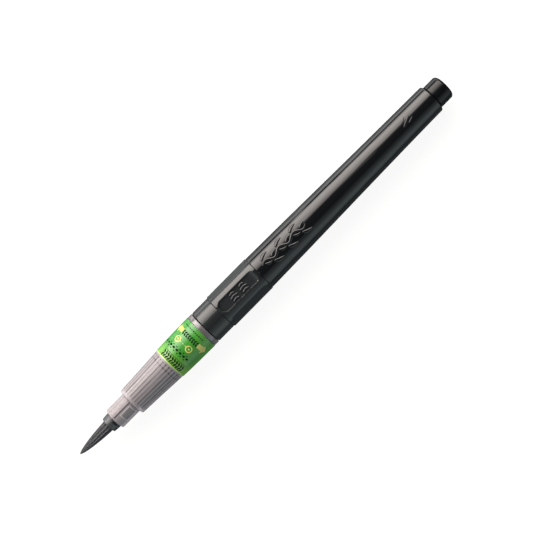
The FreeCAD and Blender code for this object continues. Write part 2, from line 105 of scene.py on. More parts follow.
# %% Place the camera
LENS_MM, SENSOR_MM = 95.8, 36.0
CLIP_START, CLIP_END = 0.01, 20.0
VIEW_DISTANCE = 0.426
VIEW_ELEVATION = math.radians(84.8)
PEN_SLOPE = math.radians(45.34)
VIEW_TARGET = Vector((1.60 * MM, -0.2 * MM, AXIS_Z))

back = Vector((0, -math.cos(VIEW_ELEVATION), math.sin(VIEW_ELEVATION)))
level_right = Vector((1, 0, 0))
level_up = back.cross(level_right)
right = level_right * math.cos(PEN_SLOPE) - level_up * math.sin(PEN_SLOPE)
up = level_right * math.sin(PEN_SLOPE) + level_up * math.cos(PEN_SLOPE)

camera_data = bpy.data.cameras.new("camera")
camera_data.lens = LENS_MM
camera_data.sensor_width = SENSOR_MM
camera_data.clip_start = CLIP_START
camera_data.clip_end = CLIP_END
camera = bpy.data.objects.new("camera", camera_data)
turned_to_pen = Matrix((right, up, back)).transposed().to_4x4()
camera.matrix_world = Matrix.Translation(VIEW_TARGET + back * VIEW_DISTANCE) @ turned_to_pen
SCENE.collection.objects.link(camera)
SCENE.camera = camera
print("camera at", [round(c, 3) for c in camera.location])

# %% [markdown]
# ## Writing shader and geometry maths as expressions
#
# Node trees are graphs, but maths is easier to read as an expression. `Wire` holds one output
# socket, and adding or multiplying wires adds a Math node to the tree. `Graph.node` makes any
# other node: first its settings, then the values or wires of its sockets. Both kinds of tree,
# for materials and for geometry, use the same two classes.


# %% Wires and graphs
class Wire:
    """One output socket. Arithmetic on it adds Math nodes to its graph."""

    def __init__(self, graph, socket):
        self.graph = graph
        self.socket = socket

    def math(self, operation, *others):
        return self.graph.math(operation, self, *others)

    def __add__(self, other):
        return self.math("ADD", other)

    __radd__ = __add__

    def __mul__(self, other):
        return self.math("MULTIPLY", other)

    __rmul__ = __mul__

    def __sub__(self, other):
        return self.math("SUBTRACT", other)

    def __rsub__(self, other):
        return self.graph.math("SUBTRACT", other, self)

    def __truediv__(self, other):
        return self.math("DIVIDE", other)

    def __pow__(self, other):
        return self.math("POWER", other)

    def at_least(self, other):
        return self.math("MAXIMUM", other)

    def at_most(self, other):
        return self.math("MINIMUM", other)

    def sine(self):
        return self.math("SINE")

    def cosine(self):
        return self.math("COSINE")

    def parts(self):
        """The three numbers of a vector."""
        self.graph.node("ShaderNodeSeparateXYZ", inputs={0: self})
        outputs = self.graph.latest.outputs
        return [Wire(self.graph, output) for output in outputs]


class Graph:
    """A node tree that is being filled."""

    def __init__(self, tree):
        self.tree = tree
        self.latest = None

    def node(self, kind, settings=None, inputs=None, out=0):
        made = self.tree.nodes.new(kind)
        for name, value in (settings or {}).items():
            setattr(made, name, value)
        for key, value in (inputs or {}).items():
            if isinstance(value, Wire):
                self.tree.links.new(value.socket, made.inputs[key])
            else:
                made.inputs[key].default_value = value
        self.latest = made
        return Wire(self, made.outputs[out]) if len(made.outputs) else None

    def math(self, operation, *values):
        inputs = dict(enumerate(values))
        return self.node("ShaderNodeMath", {"operation": operation}, inputs)

    def vector(self, x, y, z):
        return self.node("ShaderNodeCombineXYZ", inputs={0: x, 1: y, 2: z})

    def smooth(self, value, start, end):
        """0 before start, 1 after end, smooth between."""
        settings = {"interpolation_type": "SMOOTHSTEP"}
        return self.node("ShaderNodeMapRange", settings, {0: value, 1: start, 2: end})

    def noise(self, place, scale, detail=2.0, roughness=0.5):
        inputs = {"Vector": place, "Scale": scale, "Detail": detail, "Roughness": roughness}
        return self.node("ShaderNodeTexNoise", inputs=inputs)

    def mix_colour(self, factor, first, second):
        """From the first colour to the second, as the factor goes from 0 to 1."""
        ends = [end if isinstance(end, Wire) else (*end, 1) for end in (first, second)]
        inputs = {0: factor, 6: ends[0], 7: ends[1]}
        return self.node("ShaderNodeMix", {"data_type": "RGBA"}, inputs, out=2)


print("expressions ready")

# %% [markdown]
# ## Table, light and tone
#
# The table is a plain pale sheet. It glows by itself, so that it comes out clean white, and it
# scatters a little, which leaves a faint shadow. Glossy black plastic shows nothing but
# reflections, so the shape of the light matters more than its strength. One tall soft light
# stands on the far side of the pen: it is brightest low down and fades towards the top, which
# we make from a few strips on an arc. Weak strips on the near side give the dim grey band
# along the other flank. The table itself is left out of reflections, because a strip on each
# side below the horizon does its work there and is easier to balance. A pale backdrop closes
# the view behind the table when we look along it, and lights nothing.

# %% Table and backdrop
TABLE_HALF_SIZE, WALL_HEIGHT = 3.0, 2.0
GAP_UNDER_PEN = 0.02 * MM
TABLE_GREY, TABLE_ROUGHNESS = (0.10, 0.10, 0.10), 0.9
TABLE_GLOW, GLOW_STRENGTH = (1.0, 1.0, 0.995), 0.92

pale_table = bpy.data.materials.new("pale_table")
pale_table.use_nodes = True
table_sockets = pale_table.node_tree.nodes["Principled BSDF"].inputs
table_sockets["Base Color"].default_value = (*TABLE_GREY, 1)
table_sockets["Roughness"].default_value = TABLE_ROUGHNESS
table_sockets["Specular IOR Level"].default_value = 0.0
table_sockets["Emission Color"].default_value = (*TABLE_GLOW, 1)
table_sockets["Emission Strength"].default_value = GLOW_STRENGTH


def pale_sheet(name, points, faces):
    """A sheet that casts no shadow and isn't mirrored by the pen."""
    mesh = bpy.data.meshes.new(name)
    mesh.from_pydata(points, [], faces)
    mesh.materials.append(pale_table)
    sheet = bpy.data.objects.new(name, mesh)
    SCENE.collection.objects.link(sheet)
    sheet.visible_glossy = False
    sheet.visible_shadow = False
    return sheet


half = TABLE_HALF_SIZE
corners = [(-half, -half, 0), (half, -half, 0), (half, half, 0), (-half, half, 0)]
floor = pale_sheet("table_top", corners, [(0, 1, 2, 3)])
floor.location.z = -GAP_UNDER_PEN

rim = corners + [(x, y, WALL_HEIGHT) for x, y, _ in corners]
walls = [(i, (i + 1) % 4, (i + 1) % 4 + 4, i + 4) for i in range(4)]
backdrop = pale_sheet("backdrop", rim, walls)
backdrop.visible_diffuse = False
print("table and backdrop made")

# %% Light strips on arcs round the pen
LIGHT_RADIUS, LIGHT_LENGTH = 0.9, 2.2
WATTS_PER_RADIANCE = math.pi
WARM, NEUTRAL, COOL = (1.0, 0.93, 0.88), (1.0, 0.99, 0.98), (0.84, 0.97, 1.0)
# first and last angle from straight up, positive on the far side, then radiance and colour
FAR_STRIPS = [
    (14, 20, 0.7, WARM),
    (20, 29, 2.8, WARM),
    (29, 43, 5.4, WARM),
    (43, 58, 7.4, WARM),
    (58, 73, 8.2, WARM),
    (73, 81, 4.4, WARM),
    (92, 116, 2.1, NEUTRAL),
    (116, 140, 0.5, NEUTRAL),
]
NEAR_STRIPS = [
    (-36, -50, 0.25, COOL),
    (-50, -66, 0.55, COOL),
    (-66, -94, 1.0, COOL),
    (-94, -104, 0.5, COOL),
    (-104, -140, 0.12, COOL),
]


def soft_light(name, length, width, radiance, colour, outward, turn):
    """A flat light that faces the pen's middle and stays out of sight."""
    data = bpy.data.lights.new(name, "AREA")
    data.shape = "RECTANGLE"
    data.size = length
    data.size_y = width
    data.color = colour
    data.energy = radiance * length * width * WATTS_PER_RADIANCE
    light = bpy.data.objects.new(name, data)
    light.location = Vector((0, 0, AXIS_Z)) + outward * LIGHT_RADIUS
    light.rotation_euler = turn
    light.visible_camera = False
    SCENE.collection.objects.link(light)


for number, (first, last, radiance, colour) in enumerate(FAR_STRIPS + NEAR_STRIPS):
    middle = math.radians((first + last) / 2)
    width = 2 * LIGHT_RADIUS * math.tan(math.radians(abs(last - first) / 2))
    outward = Vector((0, math.sin(middle), math.cos(middle)))
    name = f"strip_{number}"
    soft_light(name, LIGHT_LENGTH, width, radiance, colour, outward, (-middle, 0, 0))
print(len(FAR_STRIPS) + len(NEAR_STRIPS), "light strips")

# %% [markdown]
# Small panels past the brush light whatever leans towards the tip, such as the recess's ramp.
# Their light grows as they come lower, so that the ramp shades off softly.

# %% End panels and dim surroundings
END_PANEL_SIZE = 0.16
# tilt from straight up towards the tip, then radiance
END_PANELS = ((30, 0.3), (40, 0.7), (50, 1.3), (60, 1.9))
ROOM_COLOUR, ROOM_STRENGTH = (0.85, 0.95, 1.0), 0.07

for tilt, radiance in END_PANELS:
    lean = math.radians(tilt)
    outward = Vector((-math.sin(lean), 0, math.cos(lean)))
    size = END_PANEL_SIZE
    soft_light(f"end_panel_{tilt}", size, size, radiance, NEUTRAL, outward, (0, -lean, 0))

world = bpy.data.worlds.new("studio")
SCENE.world = world
world.use_nodes = True
room = world.node_tree.nodes["Background"].inputs
room["Color"].default_value = (*ROOM_COLOUR, 1)
room["Strength"].default_value = ROOM_STRENGTH
SCENE.view_settings.view_transform = "Standard"
SCENE.view_settings.look = "None"
print(len(END_PANELS), "end panels")

# %% [markdown]
# ## Materials
#
# Each finish is a short function that returns a material. All of them start from the same
# Principled shader; what is the same all over is set on its sockets, and only colour, roughness
# and bump vary over the surface. Patterns read Object coordinates, which are metres here, so a
# noise scale of 1000 means features about a millimetre across.


# %% Starting a material
def new_material(name, colour, roughness, **sockets):
    """A Principled material with its average colour and roughness, which a pattern may then
    replace. Returns the material, its graph and its shader node."""
    made = bpy.data.materials.new(name)
    made.use_nodes = True
    graph = Graph(made.node_tree)
    shader = made.node_tree.nodes["Principled BSDF"]
    shader.inputs["Base Color"].default_value = (*colour, 1)
    shader.inputs["Roughness"].default_value = roughness
    for socket, value in sockets.items():
        shader.inputs[socket.replace("_", " ")].default_value = value
    made.diffuse_color = (*colour, 1)
    return made, graph, shader


def place(graph):
    """Object coordinates, in metres."""
    return graph.node("ShaderNodeTexCoord", out=3)


def feed(graph, wire, shader, socket):
    graph.tree.links.new(wire.socket, shader.inputs[socket])


def bump(graph, height, depth, shader):
    """Raises the surface by height, which runs from 0 to 1, times depth in metres."""
    inputs = {"Height": height, "Strength": 1.0, "Distance": depth}
    feed(graph, graph.node("ShaderNodeBump", inputs=inputs), shader, "Normal")


def along_pen(graph, stretch):
    """Object coordinates squeezed along the pen, for marks that run lengthwise."""
    settings = {"operation": "MULTIPLY"}
    factors = (1 / stretch, 1.0, 1.0)
    return graph.node("ShaderNodeVectorMath", settings, {0: place(graph), 1: factors})


# %% Round the pen
def round_pen(graph):
    """Three wires in millimetres: the station, the distance from the axis, and the angle in
    radians from straight up, positive towards the near side."""
    x, y, z = place(graph).parts()
    height = z - AXIS_Z
    station = (x - TIP_X) / MM
    radius = (y * y + height * height).math("SQRT") / MM
    angle = (0 - y).math("ARCTAN2", height)
    return station, radius, angle


def band(graph, value, low, high, blur):
    """1 where value lies between low and high, with soft ends."""
    return graph.smooth(value, low, low + blur) * (1 - graph.smooth(value, high - blur, high))


# %% [markdown]
# The barrel is black moulded plastic with a high gloss. Pure black would look dead: it has a
# trace of colour, a slow waviness left by the mould, and faint lengthwise handling marks that
# only change the roughness. The front, where the fingers hold it, is slightly duller.

# %% Glossy black
GRIPPED_END, GRIP_BLEND = 77.0, 2.0
DEEP_BLACK, DUSTY_BLACK = (0.003, 0.0035, 0.004), (0.012, 0.014, 0.015)
HANDLING_STRETCH, HANDLING_SCALE, CLOUD_SCALE, WAVE_SCALE = 9.0, 5200.0, 240.0, 160.0
HANDLING_DULLS, CLOUD_DULLS, GRIP_DULLS = 0.03, 0.05, 0.07
WAVE_DEPTH = 0.012 * MM


def glossy_black(name, dullness, index):
    made, graph, shader = new_material(name, DEEP_BLACK, roughness=0.1, IOR=index)
    station, _, _ = round_pen(graph)
    gripped = 1 - graph.smooth(station, GRIPPED_END - GRIP_BLEND, GRIPPED_END)
    marks = graph.noise(along_pen(graph, HANDLING_STRETCH), HANDLING_SCALE, 3.0, 0.6)
    clouds = graph.noise(place(graph), CLOUD_SCALE, 3.0)
    rough = dullness + marks * HANDLING_DULLS + clouds * CLOUD_DULLS + gripped * GRIP_DULLS
    feed(graph, rough, shader, "Roughness")
    feed(graph, graph.mix_colour(gripped, DEEP_BLACK, DUSTY_BLACK), shader, "Base Color")
    bump(graph, graph.noise(place(graph), WAVE_SCALE, 1.0), WAVE_DEPTH, shader)
    return made


BLACK = glossy_black("glossy_black", dullness=0.06, index=1.5)
KNOB_BLACK = glossy_black("knob_black", dullness=0.13, index=1.33)
print("mould waves are", round(WAVE_DEPTH / MM, 3), "mm deep")

# %% [markdown]
# The nose, the grip, the connector and the spacer ring are one clear resin with a faint
# pink-grey tint and a slight milkiness. Glass-like refraction would hide what is inside behind
# noise, so we mix straight transparency with a glossy tinted body, as for a thin wall. Most of
# the body is in the outer skin: the inner faces are dull and nearly clear, so that only the
# skin mirrors the light. What touches the wall from inside is painted onto it. On the grip the
# ribs are painted shade, dark lines for the way they bend the light, and the film of ink in the
# connector's joint is a dark band. On the nose the ferrule's slot, the inside of its lower window
# and the edge of its upper window are painted shade, and the edge of the lower window is a
# painted highlight.

# %% What shows through the skin
NOSE_SKIN, GRIP_SKIN, GRIP_FRONT = 3.3, 4.6, 22.0
CAVITY_FRONT, CAVITY_REAR = 23.2, 37.9
RIBS = 28
INK_FILM_STATIONS = (36.1, 36.6)
SHELL_EDGE_STATIONS = (37.5, 37.85)
SLOT_HALF_ANGLE = math.radians(3.6)
WINDOW_ANGLES = (math.radians(9), math.radians(62))
UPPER_WINDOW, LOWER_WINDOW = (15.3, 19.2), (17.1, 21.3)
# width of each window's edge band: painted shade on the upper window, a painted highlight on the
# lower
PAINTED_EDGE_WIDTH = 0.28
STATION_BLUR, ANGLE_BLUR = 0.05, 0.02
RIB_SOFTNESS, RIB_STRETCH, RIB_SCALE, RIB_CONTRAST, RIB_FADES = 0.7, 12.0, 700.0, 1.7, 0.1
JOINT_DARK, EDGE_DARK, LINE_DARKENS = 0.4, 0.25, 0.5


def window_frame(graph, station, angle, window):
    """Core and edge band of a ferrule window, for painted light. The angle is positive within it.
    """
    painted_edge_angle = PAINTED_EDGE_WIDTH / NOSE_SKIN
    low, high = WINDOW_ANGLES
    front, rear = window
    whole = band(graph, station, front, rear, STATION_BLUR)
    whole = whole * band(graph, angle, low, high, ANGLE_BLUR)
    core = band(graph, station, front + PAINTED_EDGE_WIDTH, rear - PAINTED_EDGE_WIDTH, STATION_BLUR)
    core = core * band(graph, angle, low + painted_edge_angle, high - painted_edge_angle, ANGLE_BLUR)
    return core, whole - core


def ribbed_grip(graph, station, angle, inside):
    """Painted shade for the ribs, and the dark bands of the joint's film and the shell's edge."""
    # painted shade: dark lines at the inner ribs' angles, on the outer skin only, for how they
    # bend light
    line = graph.smooth((angle * RIBS).cosine(), 0.0, RIB_SOFTNESS)
    uneven = graph.noise(along_pen(graph, RIB_STRETCH), RIB_SCALE, 2.0)
    ribs = line * (1 - inside) * (uneven * RIB_CONTRAST - RIB_FADES)
    ribs = ribs * band(graph, station, CAVITY_FRONT, CAVITY_REAR, 2 * STATION_BLUR)
    joint = band(graph, station, *INK_FILM_STATIONS, STATION_BLUR)
    edge = band(graph, station, *SHELL_EDGE_STATIONS, STATION_BLUR)
    # the ribs' painted shade darkens these two bands further
    joint = joint * (JOINT_DARK + line * LINE_DARKENS)
    edge = edge * (EDGE_DARK + line * LINE_DARKENS)
    return (ribs + joint + edge).at_most(1.0)


# %% Clear resin
# the second colour is the painted highlight on the lower window's edge
RESIN_TINT, EDGE_HIGHLIGHT_WHITE = (1.0, 0.92, 0.965), (0.6, 0.56, 0.58)
RESIN_GLOSS, MILK_SCALE, MILK_DULLS, MILK_THICKENS = 0.08, 420.0, 0.06, 0.05
INNER_SHARE, INNER_DULLS = 0.12, 0.5
SHADOW_SHARE, OPAQUE_SHARE = 0.14, 0.9
# painted shade inside the lower window and on the upper edge; painted highlight on the lower edge
WINDOW_PAINTED_SHADE, UPPER_RIM_PAINTED_SHADE, LOWER_RIM_PAINTED_HIGHLIGHT = 0.4, 0.25, 0.5
SHOULDER_BLUR, SKIN_BLUR = 0.1, 0.05


def clear_resin(name, milk, density, index, through, ribbed):
    """milk is how pale the body is, density is how much of it the skin has, and through is the
    tint of what is seen through it."""
    colour = tuple(milk * share for share in RESIN_TINT)
    made, graph, shader = new_material(name, colour, roughness=0.1, IOR=index)
    station, radius, angle = round_pen(graph)
    on_grip = graph.smooth(station, GRIP_FRONT - SHOULDER_BLUR, GRIP_FRONT + SHOULDER_BLUR)
    skin_starts = NOSE_SKIN + on_grip * (GRIP_SKIN - NOSE_SKIN)
    inside = 1 - graph.smooth(radius, skin_starts - SKIN_BLUR, skin_starts)
    cloud = graph.noise(place(graph), MILK_SCALE, 2.0)
    rough = RESIN_GLOSS + cloud * MILK_DULLS + inside * INNER_DULLS
    feed(graph, rough, shader, "Roughness")
    dark, pale = 0.0, 0.0
    if ribbed:
        dark = ribbed_grip(graph, station, angle, inside)
        nose = (1 - on_grip) * (1 - inside)
        # painted shade: the ferrule's slot, the lower window and the upper window's edge
        slot = band(graph, angle, -SLOT_HALF_ANGLE, SLOT_HALF_ANGLE, ANGLE_BLUR)
        slot_front = UPPER_WINDOW[0]
        slot = slot * graph.smooth(station, slot_front - SHOULDER_BLUR, slot_front)
        _, upper_rim = window_frame(graph, station, 0 - angle, UPPER_WINDOW)
        lower_core, lower_rim = window_frame(graph, station, angle, LOWER_WINDOW)
        under_nose = slot + lower_core * WINDOW_PAINTED_SHADE + upper_rim * UPPER_RIM_PAINTED_SHADE
        dark = (dark + nose * under_nose).at_most(1.0)
        # painted highlight along the lower window's edge
        pale = nose * lower_rim * LOWER_RIM_PAINTED_HIGHLIGHT
        shadow = tuple(SHADOW_SHARE * share for share in colour)
        shaded = graph.mix_colour(dark, colour, shadow)
        feed(graph, graph.mix_colour(pale, shaded, EDGE_HIGHLIGHT_WHITE), shader, "Base Color")
    clear = graph.node("ShaderNodeBsdfTransparent", inputs={0: (*through, 1)})
    body = Wire(graph, shader.outputs[0])
    skin = density + cloud * MILK_THICKENS + (dark + pale) * (OPAQUE_SHARE - density)
    share = skin * (1 - inside) + inside * INNER_SHARE
    mixed = graph.node("ShaderNodeMixShader", inputs={0: share, 1: clear, 2: body})
    output = made.node_tree.nodes["Material Output"]
    graph.tree.links.new(mixed.socket, output.inputs[0])
    return made


CLEAR_GRIP = clear_resin("clear_grip", 0.34, 0.58, 1.46, (0.80, 0.76, 0.78), ribbed=True)
CLEAR_RING = clear_resin("clear_ring", 0.12, 0.75, 1.9, (0.74, 0.72, 0.73), ribbed=False)
print(RIBS, "ribs show through the grip")

# %% [markdown]
# The brush is nylon bristle, stained by the ink. Each hair carries its own number, `shade`,
# so that neighbours differ, and painted light makes the ridges of the locks lighter. The
# ferrule is a satin dark grey moulding, and its air notch is painted black as shade.

# %% Bristles and ferrule
NOTCH_FLOOR, NOTCH_STATIONS = 2.66, (13.7, 14.6)
HAIR_DARK, HAIR_LIGHT = (0.004, 0.005, 0.006), (0.12, 0.125, 0.14)
SATIN_DARK, SATIN_LIGHT = (0.026, 0.030, 0.033), (0.046, 0.051, 0.055)
# painted shade: the black that fills the ferrule's air notch
NOTCH_PAINTED_SHADE = (0.002, 0.002, 0.003)
STREAK_STRETCH, STREAK_SCALE, SHADE_LIGHTENS, STREAK_LIGHTENS = 25.0, 9000.0, 0.9, 0.25
HAIR_GLOSS, STREAK_DULLS = 0.32, 0.2
GRAIN_SCALE, STAIN_SCALE, GRAIN_DEPTH = 6000.0, 500.0, 0.004 * MM
SATIN_GLOSS, GRAIN_DULLS, NOTCH_BLUR = 0.24, 0.16, 0.02


def inked_bristles():
    grey = (0.04, 0.042, 0.047)
    made, graph, shader = new_material("inked_bristles", grey, roughness=0.42)
    # each hair's tone, which carries painted light on the ridges of the locks
    shade = graph.node("ShaderNodeAttribute", {"attribute_name": "shade"}, out=2)
    streaks = graph.noise(along_pen(graph, STREAK_STRETCH), STREAK_SCALE, 2.0)
    tone = (shade * SHADE_LIGHTENS + streaks * STREAK_LIGHTENS).at_most(1.0)
    feed(graph, graph.mix_colour(tone, HAIR_DARK, HAIR_LIGHT), shader, "Base Color")
    feed(graph, HAIR_GLOSS + streaks * STREAK_DULLS, shader, "Roughness")
    return made


def satin_grey():
    grey = (0.034, 0.038, 0.041)
    made, graph, shader = new_material("satin_grey", grey, roughness=0.3, IOR=1.5)
    station, radius, _ = round_pen(graph)
    grain = graph.noise(place(graph), GRAIN_SCALE, 3.0)
    stain = graph.noise(place(graph), STAIN_SCALE, 3.0)
    plastic = graph.mix_colour(stain, SATIN_DARK, SATIN_LIGHT)
    # painted shade: the notch's floor, below NOTCH_FLOOR, turns black
    sunk = 1 - graph.smooth(radius, NOTCH_FLOOR - NOTCH_BLUR, NOTCH_FLOOR + NOTCH_BLUR)
    ink_and_notch_shade = sunk * band(graph, station, *NOTCH_STATIONS, NOTCH_BLUR)
    feed(graph, graph.mix_colour(ink_and_notch_shade, plastic, NOTCH_PAINTED_SHADE), shader, "Base Color")
    feed(graph, SATIN_GLOSS + grain * GRAIN_DULLS, shader, "Roughness")
    bump(graph, grain, GRAIN_DEPTH, shader)
    return made


BRISTLES, FERRULE_GREY = inked_bristles(), satin_grey()
print("air notch between stations", *NOTCH_STATIONS)

# %% [markdown]
# Inside the grip sit a grey feed with fins, a fibre wick and the refill. They are seen only
# through the clear wall, yet they give it its colour.


# %% Inner pieces
INNER_CLOUDS, REFILL_CLOUDS, CLOUDS_VARY_GLOSS = 700.0, 300.0, 0.1
REFILL_MILK, REFILL_GLOSS, REFILL_CLEAR = (0.82, 0.84, 0.84), 0.25, 0.6
FIBRE_DARK, FIBRE_LIGHT = (0.008, 0.008, 0.01), (0.05, 0.05, 0.06)
STRAND_STRETCH, STRAND_SCALE, STRAND_DEPTH = 30.0, 12000.0, 0.03 * MM


def moulded(name, dark, light, roughness, **sockets):
    """A plain surface, slightly cloudy."""
    made, graph, shader = new_material(name, light, roughness, **sockets)
    cloud = graph.noise(place(graph), INNER_CLOUDS, 3.0)
    feed(graph, graph.mix_colour(cloud, dark, light), shader, "Base Color")
    rough = roughness - CLOUDS_VARY_GLOSS / 2 + cloud * CLOUDS_VARY_GLOSS
    feed(graph, rough, shader, "Roughness")
    return made


def milky_refill():
    sockets = {"IOR": 1.5, "Transmission_Weight": REFILL_CLEAR}
    made, graph, shader = new_material("milky_refill", REFILL_MILK, roughness=0.3, **sockets)
    cloud = graph.noise(place(graph), REFILL_CLOUDS, 2.0)
    feed(graph, REFILL_GLOSS + cloud * CLOUDS_VARY_GLOSS, shader, "Roughness")
    return made


def fibre():
    made, graph, shader = new_material("ink_fibre", (0.02, 0.02, 0.024), roughness=0.85)
    strands = graph.noise(along_pen(graph, STRAND_STRETCH), STRAND_SCALE, 2.0)
    feed(graph, graph.mix_colour(strands, FIBRE_DARK, FIBRE_LIGHT), shader, "Base Color")
    bump(graph, strands, STRAND_DEPTH, shader)
    return made


FEED_GREY = moulded("feed_grey", (0.12, 0.12, 0.14), (0.20, 0.195, 0.215), 0.45)
SEAL_BLACK = moulded("seal_black", (0.012, 0.012, 0.012), (0.03, 0.03, 0.03), 0.7)
INK_BLACK = moulded("ink_black", (0.002, 0.002, 0.003), (0.006, 0.006, 0.008), 0.1)
STEEL_DARK, STEEL_LIGHT = (0.58, 0.58, 0.59), (0.66, 0.66, 0.67)
BALL_STEEL = moulded("ball_steel", STEEL_DARK, STEEL_LIGHT, 0.15, Metallic=1.0)
REFILL, FIBRE = milky_refill(), fibre()
print(len(bpy.data.materials), "materials so far")

# %% [markdown]
# ## CAD pieces that stay
#
# These keep their exact CAD shape, threads, fins and ribs included, and only get a finish.

# %% Dress the CAD pieces
FINISHES = {
    "brush_ferrule": FERRULE_GREY,
    "front_shell": CLEAR_GRIP,
    "section_connector": CLEAR_GRIP,
    "spacer_ring": CLEAR_RING,
    "feed_comb": FEED_GREY,
    "feed_carrier": FEED_GREY,
    "feed_seal": SEAL_BLACK,
    "feed_wick": FIBRE,
    "ink_relay": FIBRE,
    "tuft_root": BRISTLES,
    "tuft_root_disc": BRISTLES,
    "cartridge_spike": FERRULE_GREY,
    "cartridge_tube": REFILL,
    "cartridge_neck": REFILL,
    "stopper_ball": BALL_STEEL,
    "ink_charge": INK_BLACK,
    "tail_plug": KNOB_BLACK,
}
for node, finish in FINISHES.items():
    for material_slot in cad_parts[node].material_slots:
        material_slot.material = finish
print(len(FINISHES), "CAD pieces dressed")

# %% [markdown]
# ## Feeling the CAD shape with rays
#
# New surfaces have to lie exactly on the CAD ones. Instead of copying numbers, we feel for the
# surface: a ray from outside towards the pen's axis, or from the axis outwards, stops on it.
# `Feeler` keeps a search tree of one CAD node for that.

# %% Feeler
FAR_OUT = 10 * MM


def round_the_axis(station, angle, radius):
    """A point in the frame. The angle runs from straight up towards the near side."""
    return Vector((at(station), -radius * math.sin(angle), AXIS_Z + radius * math.cos(angle)))


class Feeler:
    """Finds the radius of one CAD node's outer or inner surface."""

    def __init__(self, node):
        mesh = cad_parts[node].data
        corners = [vertex.co for vertex in mesh.vertices]
        self.tree = BVHTree.FromPolygons(corners, [face.vertices for face in mesh.polygons])

    def outer(self, station, angle):
        start = round_the_axis(station, angle, FAR_OUT)
        inwards = round_the_axis(station, angle, 0) - start
        return FAR_OUT - self.distance(start, inwards)

    def inner(self, station, angle):
        start = round_the_axis(station, angle, 0)
        return self.distance(start, round_the_axis(station, angle, FAR_OUT) - start)

    def distance(self, start, way):
        found = self.tree.ray_cast(start, way.normalized())[3]
        return FAR_OUT if found is None else found


print("barrel radius at its band:", round(Feeler("barrel").outer(57, 0.3) / MM, 3), "mm")

# %% [markdown]
# ## Barrel
#
# The barrel is one long moulding: a short band, a collar with flat pads and a thumb recess, and
# a taper. Its CAD mesh is long thin triangles with sharp creases, which catch no light. A real
# moulding has softened edges, so we lay a fine grid of rows and columns over the CAD surface by
# feeling it, and wear down each point of the collar that stands proud of its neighbours, which
# rounds every outer edge by a tenth of a millimetre. The collar's two ends get a fine parting
# groove. The bore is felt the same way from inside, with a third of the columns, and the two
# skins meet in flat rings at the mouth and at the tail, so the piece stays a closed solid.

# %% Rows and columns
OUTER_COLUMNS, COLUMNS_PER_BORE_COLUMN = 288, 3
BORE_COLUMNS = OUTER_COLUMNS // COLUMNS_PER_BORE_COLUMN
MOUTH, COLLAR_FRONT, COLLAR_REAR, BARREL_REAR = 53.55, 60.0, 76.45, 150.25
WORN_FROM, WORN_TO = 59.6, 76.9
GROOVE_WIDTH, GROOVE_DEPTH = 0.13, 0.13
SKIN = 0.002
LIP_END, FINE_FROM, FINE_TO, TAIL_EDGE_FROM = 54.1, 59.5, 77.0, 149.6
THREAD_END = 63.6
EDGE_STEP, BAND_STEP, COLLAR_STEP, TAPER_STEP = 0.05, 0.9, 0.12, 1.6
THREAD_STEP, BORE_STEP = 0.14, 3.2


def rows(*spans):
    """Stations from (start, end, step) spans that follow each other."""
    stations = []
    for start, end, step in spans:
        count = max(1, round((end - start) / step))
        stations += [start + (end - start) * i / count for i in range(count)]
    return stations + [spans[-1][1]]


OUTER_ROWS = rows(
    (MOUTH + SKIN, LIP_END, EDGE_STEP),
    (LIP_END, FINE_FROM, BAND_STEP),
    (FINE_FROM, FINE_TO, COLLAR_STEP),
    (FINE_TO, TAIL_EDGE_FROM, TAPER_STEP),
    (TAIL_EDGE_FROM, BARREL_REAR - SKIN, EDGE_STEP),
)
BORE_ROWS = rows(
    (MOUTH + SKIN, THREAD_END, THREAD_STEP),
    (THREAD_END, BARREL_REAR - SKIN, BORE_STEP),
)
print("outer rows:", len(OUTER_ROWS), " bore rows:", len(BORE_ROWS))


# %% Feel and soften the skin
KEPT_SHARE, NEIGHBOUR_SHARE = 0.7, 0.15


def felt_radii(feel, stations, columns):
    """A grid of radii in millimetres, one row for each station."""
    turns = [2 * math.pi * i / columns for i in range(columns)]
    return np.array([[feel(s, turn) / MM for turn in turns] for s in stations])


def worn(radii, stations, low, high):
    """Wears down what stands proud between two stations, and leaves hollows as they are."""
    inside = np.array([low < s < high for s in stations])
    inside[[0, -1]] = False
    lengthwise = (np.roll(radii, 1, 0) + np.roll(radii, -1, 0)) / 2
    crosswise = (np.roll(radii, 1, 1) + np.roll(radii, -1, 1)) / 2
    relaxed = KEPT_SHARE * radii + NEIGHBOUR_SHARE * lengthwise + NEIGHBOUR_SHARE * crosswise
    radii[inside] = np.minimum(radii, relaxed)[inside]
    return radii


barrel_feeler = Feeler("barrel")
outer_radii = felt_radii(barrel_feeler.outer, OUTER_ROWS, OUTER_COLUMNS)
outer_radii = worn(outer_radii, OUTER_ROWS, WORN_FROM, WORN_TO)
for groove in (COLLAR_FRONT, COLLAR_REAR):
    nearness = np.exp(-(((np.array(OUTER_ROWS) - groove) / GROOVE_WIDTH) ** 2))
    outer_radii -= GROOVE_DEPTH * nearness[:, None]
bore_radii = felt_radii(barrel_feeler.inner, BORE_ROWS, BORE_COLUMNS)
print("thickest place:", round(2 * outer_radii.max(), 2), "mm across")


# %% Build the barrel
def skin_points(radii, stations):
    columns = radii.shape[1]
    turns = 2 * np.pi * np.arange(columns) / columns
    x = np.repeat(TIP_X + np.array(stations) * MM, columns).reshape(radii.shape)
    y = -radii * MM * np.sin(turns)
    z = AXIS_Z + radii * MM * np.cos(turns)
    return np.stack([x, y, z], axis=-1).reshape(-1, 3)


def skin_faces(row_count, columns, first, outwards):
    """Quads between neighbouring rows of a round skin."""
    faces = []
    for row in range(row_count - 1):
        for column in range(columns):
            here = first + row * columns + column
            beside = first + row * columns + (column + 1) % columns
            quad = (here, beside, beside + columns, here + columns)
            faces.append(quad if outwards else quad[::-1])
    return faces


